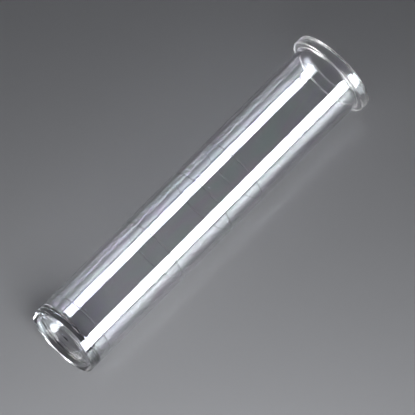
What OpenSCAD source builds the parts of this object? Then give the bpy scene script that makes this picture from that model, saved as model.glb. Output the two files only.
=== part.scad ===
// Manual rain gauge: a clear measuring tube with a moulded base cup and a flanged mouth.
// It stands on its foot: +Z runs up the tube to the mouth, and the origin is the foot's centre.
// All sizes are in millimetres.

/* [Tube] */
// Outside diameter of the tube
tube_od = 32; // [28:0.5:50]
// Wall thickness of the tube
tube_wall = 1.5; // [1:0.1:2.5]
// Height from the foot to the top of the rim
height = 160; // [158:1:250]

/* [Base cup] */
// Rounding of the bottom edge
foot_edge_r = 0.4; // [0.1:0.05:0.8]
// Depth of the hollow under the floor
recess_depth = 2; // [1:0.1:5]
// Thickness of the floor
floor_t = 2; // [1:0.1:5]
// Width of the ring that the gauge stands on, rounding included
foot_ring_w = 2.6; // [1.8:0.1:4]
// Slope of the hollow's wall, which lets the moulding leave its tool
draft_deg = 8; // [0:1:15]
// Radius of the corner between the floor and the wall, inside the cup
corner_r = 2; // [0.5:0.1:3]
// Diameter of the gate mark under the floor
gate_d = 2.4; // [2:0.1:6]
// How far the gate mark stands out
gate_h = 0.3; // [0.1:0.1:0.8]

/* [Rim flange] */
// How far the flange stands out from the tube
flange_overhang = 2.75; // [2.1:0.05:6]
// Thickness of the flange along the tube
flange_t = 4.5; // [3:0.1:8]
// Rounding of the flange's outer edges
flange_edge_r = 0.6; // [0.1:0.05:1]
// Rounding of the mouth's inner edge
mouth_edge_r = 1.2; // [0.2:0.1:1.8]
// Radius of the cove between the flange and the tube
cove_r = 0.8; // [0.3:0.1:1]

/* [Graduation lines] */
// Height of the lowest line above the foot
line_1 = 10.7; // [8:0.1:144]
// Height of the second line
line_2 = 53; // [8:0.1:144]
// Height of the third line
line_3 = 81.6; // [8:0.1:144]
// Height of the highest line
line_4 = 99.8; // [8:0.1:144]
// Width of each line along the tube
line_w = 0.4; // [0.2:0.1:1]
// Thickness of the ink
ink_t = 0.05; // [0.03:0.01:0.1]

/* [Hidden] */

ROUND = 180;
ARC_STEPS = 6;
CLEAR = [0.86, 0.91, 0.94];
CLEAR_ALPHA = 0.35;
GREY_INK = [0.45, 0.46, 0.48];

tube_r = tube_od / 2;
bore_r = tube_r - tube_wall;
floor_top = recess_depth + floor_t;
cup_top = floor_top + corner_r;
recess_r_bottom = tube_r - foot_ring_w;
recess_r_top = recess_r_bottom - recess_depth * tan(draft_deg);
flange_r = tube_r + flange_overhang;
flange_under = height - flange_t;
tube_top = flange_under - cove_r;
gate_r = gate_d / 2;
line_heights = [line_1, line_2, line_3, line_4];

// Points on a circle's arc about [x, z], from angle a0 to angle a1
function arc(x, z, r, a0, a1) =
    [for (i = [0 : ARC_STEPS]) let (a = a0 + (a1 - a0) * i / ARC_STEPS) [x + r * cos(a), z + r * sin(a)]];

// A half section, with its distance from the axis as x, turned round the Z axis
module turned(section) {
    rotate_extrude($fn = ROUND) polygon(section);
}

// The straight tube, cut square where it meets the cup and the flange
module measuring_tube() {
    color(CLEAR, CLEAR_ALPHA)
        turned([[bore_r, cup_top], [tube_r, cup_top], [tube_r, tube_top], [bore_r, tube_top]]);
}

// The closed foot: a floor with a hollow and a gate mark underneath, and a rounded inside corner
module base_cup() {
    color(CLEAR, CLEAR_ALPHA)
        turned(concat(
            [[0, recess_depth - gate_h], [gate_r - gate_h, recess_depth - gate_h], [gate_r, recess_depth]],
            [[recess_r_top, recess_depth], [recess_r_bottom, 0]],
            arc(tube_r - foot_edge_r, foot_edge_r, foot_edge_r, -90, 0),
            [[tube_r, cup_top]],
            arc(bore_r - corner_r, cup_top, corner_r, 0, -90),
            [[0, floor_top]]
        ));
}

// The ring round the mouth, with a cove underneath that runs out into the tube
module rim_flange() {
    outer_x = flange_r - flange_edge_r;
    color(CLEAR, CLEAR_ALPHA)
        turned(concat(
            arc(tube_r + cove_r, tube_top, cove_r, 180, 90),
            arc(outer_x, flange_under + flange_edge_r, flange_edge_r, -90, 0),
            arc(outer_x, height - flange_edge_r, flange_edge_r, 0, 90),
            arc(bore_r + mouth_edge_r, height - mouth_edge_r, mouth_edge_r, 90, 180),
            [[bore_r, tube_top]]
        ));
}

// One thin ring of ink round the tube, centred on height z
module graduation_line(z) {
    translate([0, 0, z - line_w / 2])
        difference() {
            cylinder(r = tube_r + ink_t, h = line_w, $fn = ROUND);
            translate([0, 0, -line_w]) cylinder(r = tube_r, h = 3 * line_w, $fn = ROUND);
        }
}

// All the printed rings
module graduation_lines() {
    color(GREY_INK)
        for (z = line_heights) graduation_line(z);
}

measuring_tube();
base_cup();
rim_flange();
graduation_lines();
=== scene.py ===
"""Looks for a clear rain gauge tube: its cup, tube, rim flange and printed lines, on a plain stage.

Every piece is a surface of revolution about the gauge's axis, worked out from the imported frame.
"""

import math

import bpy
import numpy as np
from mathutils import Matrix, Vector


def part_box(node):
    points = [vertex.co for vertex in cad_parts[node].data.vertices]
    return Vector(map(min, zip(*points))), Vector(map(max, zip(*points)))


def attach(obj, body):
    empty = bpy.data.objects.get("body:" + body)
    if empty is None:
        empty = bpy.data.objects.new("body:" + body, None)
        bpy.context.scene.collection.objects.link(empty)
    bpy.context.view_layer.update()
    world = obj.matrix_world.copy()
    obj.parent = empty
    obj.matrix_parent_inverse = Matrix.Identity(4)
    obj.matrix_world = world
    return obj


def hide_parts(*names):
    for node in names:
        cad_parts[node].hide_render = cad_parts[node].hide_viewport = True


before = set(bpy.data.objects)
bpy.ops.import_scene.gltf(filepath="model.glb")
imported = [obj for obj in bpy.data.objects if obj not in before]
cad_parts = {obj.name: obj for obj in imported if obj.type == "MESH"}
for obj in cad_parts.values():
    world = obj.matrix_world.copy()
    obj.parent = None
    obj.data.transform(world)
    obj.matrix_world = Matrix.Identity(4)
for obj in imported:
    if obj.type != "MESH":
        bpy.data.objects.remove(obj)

bl_info = {
    "name": "Clear Rain Gauge",
    "version": (1, 0, 0),
    "blender": (4, 5, 0),
    "location": "View3D > Sidebar > Rain Gauge",
    "description": "Builds a clear plastic rain gauge tube and the stage that it lies on",
    "category": "Object",
}

MM = 0.001
AROUND = 360
ROUNDING_STEPS = 10
SHARP_ANGLE = math.radians(40.0)
WALL = 1.5 * MM
SKIN_RIPPLE = 0.1
JOINT_SLACK = 1e-7
INK_GAP = 0.004 * MM

# heights of the four printed lines, as shares of the way from the lowest to the highest
LINE_SHARES = np.array([0.0, 0.4748, 0.7957, 1.0])

# the boards, and how far the gauge stays clear of each
BOARD_WIDTH = 6.0
GROUND_WIDTH = 30.0
BOARD_GAP = 0.02 * MM
GROUND_GAP = 0.1 * MM

# the lamps: how far each stands from the middle of the tube, and its length and width
SIDE_RISE = math.radians(19.0)
SIDE_REACH = 0.8
SIDE_LIFT = 0.24
SIDE_SIZE = (0.26, 0.44)
SIDE_COLOUR = (0.88, 0.94, 1.0)
FILL_BACK = 0.31
FILL_HEIGHT = 0.25
FILL_SIZE = (0.3, 0.3)
FOOT_REACH = 1.1
FOOT_SPREAD = 0.95
FOOT_SIZE = (0.75, 0.9)
MOUTH_REACH = 1.0
MOUTH_SIZE = (1.8, 0.6)

# the camera's aim, to the right of and below the middle of the tube
AIM_RIGHT = 3.27 * MM
AIM_BELOW = 0.86 * MM

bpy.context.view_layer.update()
CUP_LOW, CUP_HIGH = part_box("base_cup")
TUBE_LOW, TUBE_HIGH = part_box("measuring_tube")
FLANGE_LOW, FLANGE_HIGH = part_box("rim_flange")
LINES_LOW, LINES_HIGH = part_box("graduation_lines")


# ---------------------------------------------------------------- settings


class GaugeSizes(bpy.types.PropertyGroup):
    """Sizes of the gauge, in metres."""

    tube_radius: bpy.props.FloatProperty(
        name="Tube radius",
        description="Outside radius of the tube and the cup",
        default=TUBE_HIGH.x,
        unit="LENGTH",
        precision=5,
    )
    bore_radius: bpy.props.FloatProperty(
        name="Bore radius",
        description="Inside radius of the tube",
        default=TUBE_HIGH.x - WALL,
        unit="LENGTH",
        precision=5,
    )
    foot_edge: bpy.props.FloatProperty(
        name="Foot edge",
        description="Rounding of the cup's bottom edge",
        default=0.4 * MM,
        unit="LENGTH",
        precision=5,
    )
    foot_ring: bpy.props.FloatProperty(
        name="Foot ring",
        description="Width of the ring that the gauge stands on",
        default=2.6 * MM,
        unit="LENGTH",
        precision=5,
    )
    hollow_depth: bpy.props.FloatProperty(
        name="Hollow depth",
        description="Depth of the hollow under the floor",
        default=2.0 * MM,
        unit="LENGTH",
        precision=5,
    )
    hollow_draft: bpy.props.FloatProperty(
        name="Hollow draft",
        description="Slope of the hollow's wall",
        default=math.radians(8.0),
        subtype="ANGLE",
    )
    floor_thickness: bpy.props.FloatProperty(
        name="Floor thickness",
        description="Thickness of the cup's floor",
        default=2.0 * MM,
        unit="LENGTH",
        precision=5,
    )
    gate_radius: bpy.props.FloatProperty(
        name="Gate mark radius",
        description="Radius of the mark under the middle of the floor",
        default=1.2 * MM,
        unit="LENGTH",
        precision=5,
    )
    gate_height: bpy.props.FloatProperty(
        name="Gate mark height",
        description="How far the gate mark stands out",
        default=0.3 * MM,
        unit="LENGTH",
        precision=5,
    )
    cove: bpy.props.FloatProperty(
        name="Flange cove",
        description="Radius of the cove between the tube and the flange",
        default=0.8 * MM,
        unit="LENGTH",
        precision=5,
    )
    flange_edge: bpy.props.FloatProperty(
        name="Flange edge",
        description="Rounding of the flange's outer edges",
        default=0.6 * MM,
        unit="LENGTH",
        precision=5,
    )
    mouth_edge: bpy.props.FloatProperty(
        name="Mouth edge",
        description="Rounding of the mouth's inner edge",
        default=1.2 * MM,
        unit="LENGTH",
        precision=5,
    )
    line_width: bpy.props.FloatProperty(
        name="Line width",
        description="Width of each printed line along the tube",
        default=0.4 * MM,
        unit="LENGTH",
        precision=5,
    )


class GaugeFinish(bpy.types.PropertyGroup):
    """Colours and finish of the plastic and the ink."""

    tint: bpy.props.FloatVectorProperty(
        name="Plastic tint",
        description="Colour that the clear plastic gives to light passing its skin",
        default=(0.93, 0.935, 0.945),
        subtype="COLOR",
        min=0.0,
        max=1.0,
    )
    bend: bpy.props.FloatProperty(
        name="Refractive index",
        description="How strongly the plastic bends light",
        default=1.49,
        min=1.0,
        max=2.0,
    )
    haze: bpy.props.FloatProperty(
        name="Haze",
        description="Greatest roughness of the polished skin",
        default=0.004,
        subtype="FACTOR",
        min=0.0,
        max=1.0,
    )
    cup_haze: bpy.props.FloatProperty(
        name="Cup haze",
        description="Greatest roughness of the cup's skin, which its mould leaves duller",
        default=0.05,
        subtype="FACTOR",
        min=0.0,
        max=1.0,
    )
    flange_haze: bpy.props.FloatProperty(
        name="Flange haze",
        description="Greatest roughness of the flange's skin, which handling and its mould leave duller",
        default=0.26,
        subtype="FACTOR",
        min=0.0,
        max=1.0,
    )
    ink: bpy.props.FloatVectorProperty(
        name="Ink colour",
        description="Colour of the printed lines",
        default=(0.21, 0.215, 0.225),
        subtype="COLOR",
        min=0.0,
        max=1.0,
    )
    ink_cover: bpy.props.FloatProperty(
        name="Ink cover",
        description="Share of the light that the thin ink stops",
        default=0.28,
        subtype="FACTOR",
        min=0.0,
        max=1.0,
    )


class StageSettings(bpy.types.PropertyGroup):
    """Floor, lamps and camera."""

    surface_colour: bpy.props.FloatVectorProperty(
        name="Surface colour",
        description="Colour of the plain surfaces",
        default=(0.30, 0.304, 0.318),
        subtype="COLOR",
        min=0.0,
        max=1.0,
    )
    room: bpy.props.FloatVectorProperty(
        name="Room light",
        description="Colour and strength of the light from all round",
        default=(0.045, 0.047, 0.053),
        subtype="COLOR",
        min=0.0,
        max=1.0,
    )
    side_panel: bpy.props.FloatProperty(
        name="Side panel",
        description="Power of the long soft panel beside the tube, in watts",
        default=13.0,
        min=0.0,
    )
    fill_panel: bpy.props.FloatProperty(
        name="Fill panel",
        description="Power of the soft panel over the foot's side of the board, in watts",
        default=1.92,
        min=0.0,
    )
    foot_panel: bpy.props.FloatProperty(
        name="Foot panel",
        description="Power of each of the two soft panels beyond the foot, in watts",
        default=34.0,
        min=0.0,
    )
    mouth_panel: bpy.props.FloatProperty(
        name="Mouth panel",
        description="Power of the soft panel beyond the mouth, in watts",
        default=13.0,
        min=0.0,
    )
    facing: bpy.props.FloatProperty(
        name="Facing",
        description="Direction round the gauge that the leaning surface faces",
        default=math.radians(45.0),
        subtype="ANGLE",
    )
    camera_height: bpy.props.FloatProperty(
        name="Camera height",
        description="Angle of the camera above the leaning surface",
        default=math.radians(66.0),
        subtype="ANGLE",
    )
    camera_turn: bpy.props.FloatProperty(
        name="Camera turn",
        description="Turn of the tube in the camera's view",
        default=math.radians(47.27),
        subtype="ANGLE",
    )
    camera_distance: bpy.props.FloatProperty(
        name="Camera distance",
        description="Distance from the camera to the middle of the tube",
        default=4.0,
        unit="LENGTH",
    )
    camera_lens: bpy.props.FloatProperty(
        name="Lens",
        description="Focal length of the camera, in millimetres",
        default=872.0,
        min=1.0,
    )


# ---------------------------------------------------------------- shapes


def rounding(centre, radius, start, end, steps=ROUNDING_STEPS):
    """Points on an arc: centre + radius (cos t, sin t), t from start to end degrees in equal steps."""
    turn = np.radians(np.linspace(start, end, steps + 1))
    return np.stack([centre[0] + radius * np.cos(turn), centre[1] + radius * np.sin(turn)], axis=1)


def straight(start, end, steps):
    """Points on a straight line, start + t (end - start), with t from 0 to 1 in equal steps."""
    along = np.linspace(0.0, 1.0, steps + 1)[:, None]
    return np.asarray(start) + along * (np.asarray(end) - np.asarray(start))


def joined(*runs):
    """The runs' points one after another, with a point that repeats the one before it left out."""
    points = np.concatenate([np.atleast_2d(run) for run in runs])
    step = np.linalg.norm(np.diff(points, axis=0), axis=1)
    return points[np.concatenate([[True], step > 1e-8])]


def turned_arrays(outline, ring_shaped):
    """Points and faces of the surface that an outline sweeps when it turns about the Z axis.

    Outline point i is (r, z), and grid point (i, j) is (r cos a, r sin a, z), with a = 2 pi j / AROUND.
    A ring-shaped outline is a closed loop. Any other starts and ends on the axis, where all of a row's
    points are one pole. The outline runs outwards below, up outside and inwards above, so that
    (along the turn) x (along the outline) points out of the solid.
    Returns points, corner indices, face lengths, corner UVs (share of the turn, run along the outline),
    and the outline step that each face comes from.
    """
    angle = np.arange(AROUND) * (2.0 * np.pi / AROUND)
    rows = outline if ring_shaped else outline[1:-1]
    x = rows[:, :1] * np.cos(angle)
    y = rows[:, :1] * np.sin(angle)
    z = np.repeat(rows[:, 1:], AROUND, axis=1)
    points = np.stack([x, y, z], axis=-1).reshape(-1, 3)

    closed = np.vstack([outline, outline[:1]]) if ring_shaped else outline
    run = np.concatenate([[0.0], np.cumsum(np.linalg.norm(np.diff(closed, axis=0), axis=1))])
    here = np.arange(AROUND)
    after = (here + 1) % AROUND
    share = np.stack([here, here + 1], axis=1) / AROUND

    count = len(rows)
    first = np.arange(count if ring_shaped else count - 1)[:, None]
    second = (first + 1) % count
    quads = np.stack(
        [first * AROUND + here, first * AROUND + after, second * AROUND + after, second * AROUND + here],
        axis=-1,
    ).reshape(-1, 4)
    step = np.repeat(first[:, 0] + (0 if ring_shaped else 1), AROUND)
    low, high = run[step], run[step + 1]
    left, right = np.tile(share[:, 0], len(first)), np.tile(share[:, 1], len(first))
    quad_uv = np.stack(
        [
            np.stack([left, low], 1),
            np.stack([right, low], 1),
            np.stack([right, high], 1),
            np.stack([left, high], 1),
        ],
        axis=1,
    ).reshape(-1, 2)
    corners, lengths, uvs, steps = [quads.ravel()], [np.full(len(quads), 4)], [quad_uv], [step]

    if not ring_shaped:
        south, north = len(points), len(points) + 1
        points = np.vstack([points, [0.0, 0.0, outline[0, 1]], [0.0, 0.0, outline[-1, 1]]])
        top = (count - 1) * AROUND
        middle = share.mean(axis=1)
        lower = np.stack([np.full(AROUND, south), after, here], 1)
        upper = np.stack([top + here, top + after, np.full(AROUND, north)], 1)
        # each fan's corners, its outline step, and its corners' UVs across and up
        fans = (
            (lower, 0, (middle, share[:, 1], share[:, 0]), (0, 1, 1)),
            (upper, len(outline) - 2, (share[:, 0], share[:, 1], middle), (0, 0, 1)),
        )
        for fan, place, across, up in fans:
            corners.append(fan.ravel())
            lengths.append(np.full(AROUND, 3))
            uvs.append(np.stack(
                [np.stack([u, np.full(AROUND, run[place + k])], 1) for u, k in zip(across, up)], axis=1
            ).reshape(-1, 2))
            steps.append(np.full(AROUND, place))
    joined_lists = (np.concatenate(part) for part in (corners, lengths, uvs, steps))
    return points, *joined_lists


def turned_piece(name, outlines, ring_shaped, joints=()):
    """One mesh object from outlines turned about Z.

    joints holds the (low, high) corners in (r, z) of the flat joint faces, which take the second material.
    """
    sets = [turned_arrays(outline, ring_shaped) for outline in outlines]
    offsets = np.cumsum([0] + [len(s[0]) for s in sets[:-1]])
    points = np.concatenate([s[0] for s in sets])
    corners = np.concatenate([s[1] + offset for s, offset in zip(sets, offsets)])
    lengths = np.concatenate([s[2] for s in sets])
    uvs = np.concatenate([s[3] for s in sets])
    slots = []
    for outline, parts in zip(outlines, sets):
        ends = np.roll(outline, -1, axis=0)
        middle = (outline + ends) / 2.0
        is_joint = np.zeros(len(outline), bool)
        for low, high in joints:
            above = middle >= np.asarray(low) - JOINT_SLACK
            below = middle <= np.asarray(high) + JOINT_SLACK
            is_joint |= np.all(above & below, axis=1)
        slots.append(is_joint[parts[4]].astype(np.int32))

    mesh = bpy.data.meshes.new(name)
    mesh.vertices.add(len(points))
    mesh.vertices.foreach_set("co", points.ravel())
    mesh.loops.add(len(corners))
    mesh.loops.foreach_set("vertex_index", corners.astype(np.int32))
    mesh.polygons.add(len(lengths))
    starts = np.concatenate([[0], np.cumsum(lengths)[:-1]])
    mesh.polygons.foreach_set("loop_start", starts.astype(np.int32))
    mesh.polygons.foreach_set("material_index", np.concatenate(slots))
    mesh.uv_layers.new(name="Round")
    mesh.uv_layers["Round"].uv.foreach_set("vector", uvs.ravel())
    mesh.update(calc_edges=True)
    mesh.polygons.foreach_set("use_smooth", np.ones(len(lengths), bool))
    mesh.set_sharp_from_angle(angle=SHARP_ANGLE)
    mesh.validate()
    piece = bpy.data.objects.new(name, mesh)
    bpy.context.scene.collection.objects.link(piece)
    return piece


# ---------------------------------------------------------------- materials


def blank_material(name):
    """A material with an empty node tree."""
    material = bpy.data.materials.new(name)
    material.use_nodes = True
    material.node_tree.nodes.clear()
    return material


def clear_plastic(name, finish, haze, flow_stretch, flow_scale, shade, glow):
    """Polished clear plastic.

    haze is the greatest roughness of its skin. flow_stretch is how far its flow lines are drawn out along
    the gauge's axis, and flow_scale how many there are to a metre across it. shade is the share of a lamp's
    light that each skin lets straight through to what lies behind. glow is the share of the light spilt from
    matt surfaces that it keeps from passing straight through. Both are given for each piece.
    """
    material = blank_material(name)
    nodes, links = material.node_tree.nodes, material.node_tree.links

    skin_frame = nodes.new("NodeFrame")
    skin_frame.label = "Moulded skin"
    haze_frame = nodes.new("NodeFrame")
    haze_frame.label = "Handling haze"
    stress_frame = nodes.new("NodeFrame")
    stress_frame.label = "Stress colours"
    light_frame = nodes.new("NodeFrame")
    light_frame.label = "Lamps pass through"

    place = nodes.new("ShaderNodeTexCoord")
    place.label = "Place on the piece"
    place.location = (-1200, 100)

    stretch = nodes.new("ShaderNodeMapping")
    stretch.label = "Draw the flow lines out along the axis"
    stretch.location = (-1000, -100)
    stretch.parent = skin_frame
    flow = nodes.new("ShaderNodeTexNoise")
    flow.label = "Flow lines of the melt"
    flow.location = (-780, -100)
    flow.parent = skin_frame
    relief = nodes.new("ShaderNodeBump")
    relief.label = "Ripple in the skin"
    relief.location = (-560, -100)
    relief.parent = skin_frame

    cloud = nodes.new("ShaderNodeTexNoise")
    cloud.label = "Where hands have dulled it"
    cloud.location = (-780, 300)
    cloud.parent = haze_frame
    dullness = nodes.new("ShaderNodeMapRange")
    dullness.label = "Polished to slightly dulled"
    dullness.location = (-560, 300)
    dullness.parent = haze_frame

    where = nodes.new("ShaderNodeMapping")
    where.label = "Draw the stress out along the axis"
    where.location = (-1000, 620)
    where.parent = stress_frame
    stress = nodes.new("ShaderNodeTexNoise")
    stress.label = "Stress frozen in by moulding"
    stress.location = (-800, 620)
    stress.parent = stress_frame
    tints = nodes.new("ShaderNodeValToRGB")
    tints.label = "Faint stress colours"
    tints.location = (-600, 620)
    tints.parent = stress_frame

    plastic = nodes.new("ShaderNodeBsdfPrincipled")
    plastic.label = "Clear plastic"
    plastic.location = (-280, 200)

    ray = nodes.new("ShaderNodeLightPath")
    ray.label = "Which ray is it"
    ray.location = (-620, 760)
    ray.parent = light_frame
    spill = nodes.new("ShaderNodeMath")
    spill.label = "Most light spilt from matt surfaces passes on"
    spill.location = (-420, 700)
    spill.operation = "MULTIPLY"
    spill.parent = light_frame
    share = nodes.new("ShaderNodeMath")
    share.label = "Share that passes straight on"
    share.location = (-220, 700)
    share.operation = "MAXIMUM"
    share.parent = light_frame
    passing = nodes.new("ShaderNodeBsdfTransparent")
    passing.label = "Light that passes on"
    passing.location = (-280, -260)
    passing.parent = light_frame
    shadow = nodes.new("ShaderNodeMixShader")
    shadow.label = "No hard shadow from clear plastic"
    shadow.location = (60, 200)
    shadow.parent = light_frame
    output = nodes.new("ShaderNodeOutputMaterial")
    output.label = "Surface of the piece"
    output.location = (260, 200)

    stretch.inputs["Scale"].default_value = (1.0, 1.0, 1.0 / flow_stretch)
    flow.inputs["Scale"].default_value = flow_scale
    flow.inputs["Detail"].default_value = 2.0
    relief.inputs["Strength"].default_value = SKIN_RIPPLE
    relief.inputs["Distance"].default_value = 0.004 * MM
    cloud.inputs["Scale"].default_value = 40.0
    cloud.inputs["Detail"].default_value = 4.0
    dullness.inputs["From Min"].default_value = 0.32
    dullness.inputs["From Max"].default_value = 0.75
    dullness.inputs["To Min"].default_value = 0.0
    dullness.inputs["To Max"].default_value = haze
    where.inputs["Scale"].default_value = (1.0, 1.0, 0.35)
    stress.inputs["Scale"].default_value = 110.0
    stress.inputs["Detail"].default_value = 1.0
    stress.inputs["Distortion"].default_value = 0.6
    clear = np.array(finish.tint)
    ramp = tints.color_ramp
    ramp.elements[0].position = 0.36
    ramp.elements[1].position = 0.64
    ramp.elements[0].color = (*(clear * (0.95, 1.0, 0.97)), 1.0)
    ramp.elements[1].color = (*(clear * (0.96, 0.93, 1.0)), 1.0)
    for position, shift in (
        (0.42, (1.0, 0.99, 0.99)),
        (0.47, (1.0, 0.92, 0.98)),
        (0.51, (0.98, 0.98, 1.0)),
        (0.55, (0.96, 1.0, 0.95)),
        (0.59, (1.0, 1.0, 1.0)),
    ):
        ramp.elements.new(position).color = (*(clear * shift), 1.0)
    plastic.inputs["IOR"].default_value = finish.bend
    plastic.inputs["Transmission Weight"].default_value = 1.0
    passing.inputs["Color"].default_value = (shade, shade, shade, 1.0)
    spill.inputs[1].default_value = 1.0 - glow

    links.new(place.outputs["Object"], stretch.inputs["Vector"])
    links.new(stretch.outputs["Vector"], flow.inputs["Vector"])
    links.new(flow.outputs["Fac"], relief.inputs["Height"])
    links.new(relief.outputs["Normal"], plastic.inputs["Normal"])
    links.new(place.outputs["Object"], where.inputs["Vector"])
    links.new(where.outputs["Vector"], stress.inputs["Vector"])
    links.new(stress.outputs["Fac"], tints.inputs["Fac"])
    links.new(tints.outputs["Color"], plastic.inputs["Base Color"])
    links.new(place.outputs["Object"], cloud.inputs["Vector"])
    links.new(cloud.outputs["Fac"], dullness.inputs["Value"])
    links.new(dullness.outputs["Result"], plastic.inputs["Roughness"])
    links.new(ray.outputs["Is Diffuse Ray"], spill.inputs[0])
    links.new(ray.outputs["Is Shadow Ray"], share.inputs[0])
    links.new(spill.outputs["Value"], share.inputs[1])
    links.new(share.outputs["Value"], shadow.inputs["Fac"])
    links.new(plastic.outputs["BSDF"], shadow.inputs[1])
    links.new(passing.outputs["BSDF"], shadow.inputs[2])
    links.new(shadow.outputs["Shader"], output.inputs["Surface"])
    return material


def weld_face():
    """The melted joint between two pieces, which light crosses unbent."""
    material = blank_material("weld_face")
    nodes, links = material.node_tree.nodes, material.node_tree.links
    passing = nodes.new("ShaderNodeBsdfTransparent")
    passing.label = "Melted joint, as clear as the pieces"
    passing.location = (0, 0)
    output = nodes.new("ShaderNodeOutputMaterial")
    output.label = "Joint face"
    output.location = (220, 0)
    links.new(passing.outputs["BSDF"], output.inputs["Surface"])
    return material


def line_ink(finish):
    """Thin grey ink that lets part of the light through, unevenly."""
    material = blank_material("line_ink")
    nodes, links = material.node_tree.nodes, material.node_tree.links

    wear_frame = nodes.new("NodeFrame")
    wear_frame.label = "Uneven ink"
    place = nodes.new("ShaderNodeTexCoord")
    place.label = "Place on the piece"
    place.location = (-900, 0)
    grain = nodes.new("ShaderNodeTexNoise")
    grain.label = "Thick and thin ink"
    grain.location = (-700, 0)
    grain.parent = wear_frame
    cover = nodes.new("ShaderNodeMapRange")
    cover.label = "Share of light stopped"
    cover.location = (-480, 0)
    cover.parent = wear_frame
    passing = nodes.new("ShaderNodeBsdfTransparent")
    passing.label = "Seen through the ink"
    passing.location = (-480, 260)
    ink = nodes.new("ShaderNodeBsdfPrincipled")
    ink.label = "Grey ink"
    ink.location = (-480, -300)
    mix = nodes.new("ShaderNodeMixShader")
    mix.label = "Ink over clear plastic"
    mix.location = (-160, 0)
    output = nodes.new("ShaderNodeOutputMaterial")
    output.label = "Printed line"
    output.location = (60, 0)

    grain.inputs["Scale"].default_value = 900.0
    grain.inputs["Detail"].default_value = 3.0
    cover.inputs["From Min"].default_value = 0.3
    cover.inputs["From Max"].default_value = 0.7
    cover.inputs["To Min"].default_value = 0.6 * finish.ink_cover
    cover.inputs["To Max"].default_value = 1.4 * finish.ink_cover
    ink.inputs["Base Color"].default_value = (*finish.ink, 1.0)
    ink.inputs["Roughness"].default_value = 0.6

    links.new(place.outputs["Object"], grain.inputs["Vector"])
    links.new(grain.outputs["Fac"], cover.inputs["Value"])
    links.new(cover.outputs["Result"], mix.inputs["Fac"])
    links.new(passing.outputs["BSDF"], mix.inputs[1])
    links.new(ink.outputs["BSDF"], mix.inputs[2])
    links.new(mix.outputs["Shader"], output.inputs["Surface"])
    return material


def plain_surface(name, colour):
    """A board painted with a soft sheen, which is seen only from its front."""
    material = blank_material(name)
    nodes, links = material.node_tree.nodes, material.node_tree.links
    side = nodes.new("ShaderNodeNewGeometry")
    side.label = "Front or back"
    side.location = (-300, 300)
    board = nodes.new("ShaderNodeBsdfPrincipled")
    board.label = "Painted board"
    board.location = (-300, 0)
    passing = nodes.new("ShaderNodeBsdfTransparent")
    passing.label = "Nothing seen from behind"
    passing.location = (-300, -400)
    mix = nodes.new("ShaderNodeMixShader")
    mix.label = "One-sided board"
    mix.location = (20, 100)
    output = nodes.new("ShaderNodeOutputMaterial")
    output.label = "Board"
    output.location = (220, 100)
    board.inputs["Base Color"].default_value = (*colour, 1.0)
    board.inputs["Roughness"].default_value = 0.18
    board.inputs["Specular IOR Level"].default_value = 0.15
    links.new(side.outputs["Backfacing"], mix.inputs["Fac"])
    links.new(board.outputs["BSDF"], mix.inputs[1])
    links.new(passing.outputs["BSDF"], mix.inputs[2])
    links.new(mix.outputs["Shader"], output.inputs["Surface"])
    return material


def shared_weld_face():
    """The joint faces' one material, made the first time that it is asked for."""
    return bpy.data.materials.get("weld_face") or weld_face()


# ---------------------------------------------------------------- operators


def settle(piece, node, slot_name, *materials):
    """Gives a finished piece its materials and its place in the frame."""
    for material in materials:
        piece.data.materials.append(material)
    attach(piece, "root")
    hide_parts(node)


class GAUGE_OT_base_cup(bpy.types.Operator):
    """The closed foot: a floor with a hollow and a gate mark underneath, and a rounded inside corner"""

    bl_idname = "gauge.base_cup"
    bl_label = "Base Cup"

    def execute(self, context):
        size, finish = context.scene.gauge_sizes, context.scene.gauge_finish
        low, top = CUP_LOW.z, CUP_HIGH.z
        outer, bore = size.tube_radius, size.bore_radius
        ceiling = low + size.hollow_depth
        floor = ceiling + size.floor_thickness
        corner = top - floor
        hollow_low = outer - size.foot_ring
        lean = math.tan(size.hollow_draft)
        hollow_high = hollow_low - size.hollow_depth * lean
        fillet, lip = 0.35 * MM, 0.2 * MM
        edge = size.foot_edge
        gate = size.gate_radius
        outline = joined(
            (0.0, ceiling - size.gate_height),
            rounding((gate - 0.5 * size.gate_height, ceiling - 0.6 * size.gate_height),
                     0.4 * size.gate_height, -90.0, -30.0, 5),
            rounding((gate + 0.5 * size.gate_height, ceiling - 0.4 * size.gate_height),
                     0.4 * size.gate_height, 150.0, 90.0, 5),
            straight((gate + 0.5 * size.gate_height, ceiling), (hollow_high - fillet, ceiling), 12),
            rounding((hollow_high - fillet, ceiling - fillet), fillet, 90.0, 8.0),
            rounding((hollow_low + lip, low + lip), lip, 172.0, 270.0, 8),
            straight((hollow_low + lip, low), (outer - edge, low), 4),
            rounding((outer - edge, low + edge), edge, -90.0, 0.0),
            straight((outer, low + edge), (outer, top), 8),
            (bore, top),
            rounding((bore - corner, floor + corner), corner, 0.0, -90.0, 16),
            straight((bore - corner, floor), (0.0, floor), 14),
        )
        piece = turned_piece("base_cup_clear", [outline], False, [((bore, top), (outer, top))])
        plastic = clear_plastic(
            "clear_moulding_cup", finish, finish.cup_haze,
            flow_stretch=1.0, flow_scale=260.0, shade=0.38, glow=0.02,
        )
        settle(piece, "base_cup", "base_plastic", plastic, shared_weld_face())
        return {"FINISHED"}


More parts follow.
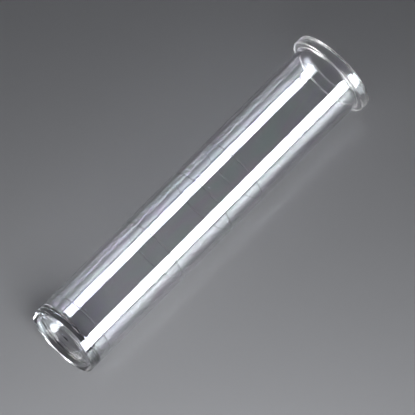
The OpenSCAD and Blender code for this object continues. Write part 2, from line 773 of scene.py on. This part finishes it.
class GAUGE_OT_measuring_tube(bpy.types.Operator):
    """The straight clear tube between the cup and the flange"""

    bl_idname = "gauge.measuring_tube"
    bl_label = "Measuring Tube"

    def execute(self, context):
        size, finish = context.scene.gauge_sizes, context.scene.gauge_finish
        low, top = TUBE_LOW.z, TUBE_HIGH.z
        outer, bore = size.tube_radius, size.bore_radius
        outline = joined(
            straight((bore, low), (outer, low), 2),
            straight((outer, low), (outer, top), 60),
            straight((outer, top), (bore, top), 2),
            straight((bore, top), (bore, low), 60),
        )[:-1]
        ends = [((bore, low), (outer, low)), ((bore, top), (outer, top))]
        piece = turned_piece("measuring_tube_clear", [outline], True, ends)
        plastic = clear_plastic(
            "clear_tube", finish, finish.haze,
            flow_stretch=400.0, flow_scale=420.0, shade=0.97, glow=0.02,
        )
        settle(piece, "measuring_tube", "tube_plastic", plastic, shared_weld_face())
        return {"FINISHED"}


class GAUGE_OT_rim_flange(bpy.types.Operator):
    """The thick ring round the mouth, with a cove underneath and a rounded inner edge"""

    bl_idname = "gauge.rim_flange"
    bl_label = "Rim Flange"

    def execute(self, context):
        size, finish = context.scene.gauge_sizes, context.scene.gauge_finish
        low, top = FLANGE_LOW.z, FLANGE_HIGH.z
        outer, bore, rim = size.tube_radius, size.bore_radius, FLANGE_HIGH.x
        cove, edge, mouth = size.cove, size.flange_edge, size.mouth_edge
        under = low + cove
        outline = joined(
            straight((bore, low), (outer, low), 2),
            rounding((outer + cove, low), cove, 180.0, 90.0),
            straight((outer + cove, under), (rim - edge, under), 3),
            rounding((rim - edge, under + edge), edge, -90.0, 0.0),
            straight((rim, under + edge), (rim, top - edge), 4),
            rounding((rim - edge, top - edge), edge, 0.0, 90.0),
            straight((rim - edge, top), (bore + mouth, top), 3),
            rounding((bore + mouth, top - mouth), mouth, 90.0, 180.0, 14),
            straight((bore, top - mouth), (bore, low), 4),
        )[:-1]
        piece = turned_piece("rim_flange_clear", [outline], True, [((bore, low), (outer, low))])
        plastic = clear_plastic(
            "clear_moulding_flange", finish, finish.flange_haze,
            flow_stretch=1.0, flow_scale=300.0, shade=0.92, glow=0.03,
        )
        settle(piece, "rim_flange", "flange_plastic", plastic, shared_weld_face())
        return {"FINISHED"}


class GAUGE_OT_graduation_lines(bpy.types.Operator):
    """The thin grey rings printed round the tube"""

    bl_idname = "gauge.graduation_lines"
    bl_label = "Graduation Lines"

    def execute(self, context):
        size, finish = context.scene.gauge_sizes, context.scene.gauge_finish
        half = size.line_width / 2.0
        inner = size.tube_radius + INK_GAP
        outer = LINES_HIGH.x
        swell = 0.4 * (outer - inner)
        lowest, highest = LINES_LOW.z + half, LINES_HIGH.z - half
        heights = lowest + LINE_SHARES * (highest - lowest)
        section = joined(
            straight((inner, -half), (outer - swell, -half), 1),
            rounding((outer - swell, -half + swell), swell, -90.0, 0.0, 3),
            rounding((outer - swell, half - swell), swell, 0.0, 90.0, 3),
            straight((outer - swell, half), (inner, half), 1),
        )
        outlines = [section + (0.0, height) for height in heights]
        piece = turned_piece("graduation_lines_ink", outlines, True)
        settle(piece, "graduation_lines", "line_ink", line_ink(finish))
        return {"FINISHED"}


class GAUGE_OT_stage(bpy.types.Operator):
    """The leaning board that the gauge lies on, the floor, the soft lamps and the camera"""

    bl_idname = "gauge.stage"
    bl_label = "Stage"

    def execute(self, context):
        size, look = context.scene.gauge_sizes, context.scene.stage_settings
        rim, edge = FLANGE_HIGH.x, size.flange_edge
        under = FLANGE_LOW.z + size.cove

        # the board touches the foot's edge and the flange's edge, on the side that it faces away from
        facing = Vector((math.sin(look.facing), -math.cos(look.facing), 0.0))
        up = Vector((0.0, 0.0, 1.0))
        foot_centre = Vector((size.tube_radius - size.foot_edge, CUP_LOW.z + size.foot_edge))
        rim_centre = Vector((rim - edge, under + edge))
        span = rim_centre - foot_centre
        tilt = math.atan2(span.x, span.y) + math.asin((edge - size.foot_edge) / span.length)
        normal = math.cos(tilt) * facing + math.sin(tilt) * up
        along = math.cos(tilt) * up - math.sin(tilt) * facing
        left = normal.cross(along)
        reach = foot_centre.x * math.cos(tilt) - foot_centre.y * math.sin(tilt) + size.foot_edge + BOARD_GAP
        middle = Vector((0.0, 0.0, (CUP_LOW.z + FLANGE_HIGH.z) / 2.0))

        board = self.flat_board("leaning_board", -reach * normal, along, left, BOARD_WIDTH)
        board.data.materials.append(plain_surface("pale_board", look.surface_colour))
        ground = self.flat_board("ground", Vector((0.0, 0.0, CUP_LOW.z - GROUND_GAP)), Vector((1, 0, 0)),
                                 Vector((0, 1, 0)), GROUND_WIDTH)
        ground.data.materials.append(plain_surface("pale_ground", look.surface_colour))
        ground.visible_shadow = False
        ground.visible_diffuse = False
        ground.visible_glossy = False

        turn = look.camera_turn
        right = math.cos(turn) * along - math.sin(turn) * left
        away = math.sin(turn) * along + math.cos(turn) * left

        # side panel: stands beyond the gauge's right, from 3 to 34 degrees above the board
        out = -math.cos(SIDE_RISE) * left + math.sin(SIDE_RISE) * normal
        place = middle + SIDE_REACH * out + SIDE_LIFT * up
        side = self.soft_panel("side_panel", place, -out, up, SIDE_SIZE, look.side_panel, SIDE_COLOUR)
        side.visible_diffuse = False
        # fill: near the foot's side of the board, kept out of the gloss
        place = middle - FILL_BACK * away + FILL_HEIGHT * normal
        fill = self.soft_panel("fill", place, -normal, right, FILL_SIZE, look.fill_panel)
        fill.visible_glossy = False
        fill.visible_transmission = False
        # foot panels: low beyond the foot on either side, seen only in the gloss
        for name, spread in (("foot_panel_left", FOOT_SPREAD), ("foot_panel_right", -FOOT_SPREAD)):
            beyond = (-0.87 * up + 0.5 * normal + spread * left).normalized()
            place = middle + FOOT_REACH * beyond
            foot = self.soft_panel(name, place, -beyond, left, FOOT_SIZE, look.foot_panel)
            foot.visible_diffuse = False
        # mouth panel: low beyond the mouth, seen only in the gloss
        beyond = (0.92 * up + 0.4 * normal).normalized()
        place = middle + MOUTH_REACH * beyond
        mouth = self.soft_panel("mouth_panel", place, -beyond, left, MOUTH_SIZE, look.mouth_panel)
        mouth.visible_diffuse = False

        self.camera(look, middle, right, away, normal)
        self.surroundings(context.scene, look)
        return {"FINISHED"}

    def flat_board(self, name, centre, along, across, width):
        """A square board: centre + s along + t across, with s and t from -width/2 to width/2."""
        share = np.array([[-0.5, -0.5], [0.5, -0.5], [0.5, 0.5], [-0.5, 0.5]]) * width
        points = np.array(centre) + share[:, :1] * np.array(along) + share[:, 1:] * np.array(across)
        mesh = bpy.data.meshes.new(name)
        mesh.from_pydata(points.tolist(), [], [(0, 1, 2, 3)])
        piece = bpy.data.objects.new(name, mesh)
        bpy.context.scene.collection.objects.link(piece)
        return piece

    def soft_panel(self, name, place, towards, long_side, size, power, colour=(1.0, 1.0, 1.0)):
        """A lamp of size (length, width) at place, its length along long_side, that shines one way."""
        lamp = bpy.data.lights.new(name, "AREA")
        lamp.shape = "RECTANGLE"
        lamp.size = size[0]
        lamp.size_y = size[1]
        lamp.energy = power
        lamp.color = colour
        z = -towards.normalized()
        x = (long_side - long_side.dot(z) * z).normalized()
        y = z.cross(x)
        holder = bpy.data.objects.new(name, lamp)
        holder.matrix_world = Matrix.Translation(place) @ Matrix((x, y, z)).transposed().to_4x4()
        holder.visible_camera = False
        bpy.context.scene.collection.objects.link(holder)
        return holder

    def camera(self, look, middle, right, away, normal):
        """A long lens that looks down on the board, past the foot and towards the mouth."""
        height = look.camera_height
        back = -math.cos(height) * away + math.sin(height) * normal
        top = math.sin(height) * away + math.cos(height) * normal
        aim = middle + AIM_RIGHT * right - AIM_BELOW * top
        data = bpy.data.cameras.new("camera")
        data.lens = look.camera_lens
        data.sensor_width = 36.0
        data.clip_start = 0.1
        data.clip_end = 100.0
        holder = bpy.data.objects.new("camera", data)
        turned = Matrix((right, top, back)).transposed().to_4x4()
        holder.matrix_world = Matrix.Translation(aim + look.camera_distance * back) @ turned
        bpy.context.scene.collection.objects.link(holder)
        bpy.context.scene.camera = holder

    def surroundings(self, scene, look):
        """A dim even room, and enough light bounces for clear plastic."""
        world = bpy.data.worlds.new("room")
        world.use_nodes = True
        nodes, links = world.node_tree.nodes, world.node_tree.links
        nodes.clear()
        glow = nodes.new("ShaderNodeBackground")
        glow.label = "Dim even room"
        glow.location = (0, 0)
        output = nodes.new("ShaderNodeOutputWorld")
        output.label = "Room"
        output.location = (220, 0)
        glow.inputs["Color"].default_value = (*look.room, 1.0)
        links.new(glow.outputs["Background"], output.inputs["Surface"])
        scene.world = world
        scene.view_settings.view_transform = "Standard"
        scene.cycles.sample_clamp_indirect = 0.0
        scene.cycles.max_bounces = 24
        scene.cycles.transmission_bounces = 24
        scene.cycles.glossy_bounces = 12
        scene.cycles.transparent_max_bounces = 32


# ---------------------------------------------------------------- sidebar panel


class GAUGE_PT_panel(bpy.types.Panel):
    """Lists the gauge's pieces and settings"""

    bl_label = "Rain Gauge"
    bl_idname = "GAUGE_PT_panel"
    bl_space_type = "VIEW_3D"
    bl_region_type = "UI"
    bl_category = "Rain Gauge"

    def draw(self, context):
        layout = self.layout
        for operator in OPERATORS:
            layout.operator(operator.bl_idname)
        scene = context.scene
        for settings in (scene.gauge_sizes, scene.gauge_finish, scene.stage_settings):
            box = layout.box()
            for name in settings.__annotations__:
                box.prop(settings, name)


OPERATORS = (
    GAUGE_OT_base_cup,
    GAUGE_OT_measuring_tube,
    GAUGE_OT_rim_flange,
    GAUGE_OT_graduation_lines,
    GAUGE_OT_stage,
)
GROUPS = (GaugeSizes, GaugeFinish, StageSettings)


def register():
    """Registers the add-on's classes and hangs its settings on the scene."""
    for item in (*GROUPS, *OPERATORS, GAUGE_PT_panel):
        bpy.utils.register_class(item)
    bpy.types.Scene.gauge_sizes = bpy.props.PointerProperty(type=GaugeSizes)
    bpy.types.Scene.gauge_finish = bpy.props.PointerProperty(type=GaugeFinish)
    bpy.types.Scene.stage_settings = bpy.props.PointerProperty(type=StageSettings)


def unregister():
    """Undoes register, in the opposite order."""
    del bpy.types.Scene.stage_settings
    del bpy.types.Scene.gauge_finish
    del bpy.types.Scene.gauge_sizes
    for item in reversed((*GROUPS, *OPERATORS, GAUGE_PT_panel)):
        bpy.utils.unregister_class(item)


def main():
    register()
    bpy.ops.gauge.base_cup()
    bpy.ops.gauge.measuring_tube()
    bpy.ops.gauge.rim_flange()
    bpy.ops.gauge.graduation_lines()
    bpy.ops.gauge.stage()


if __name__ == "__main__":
    main()
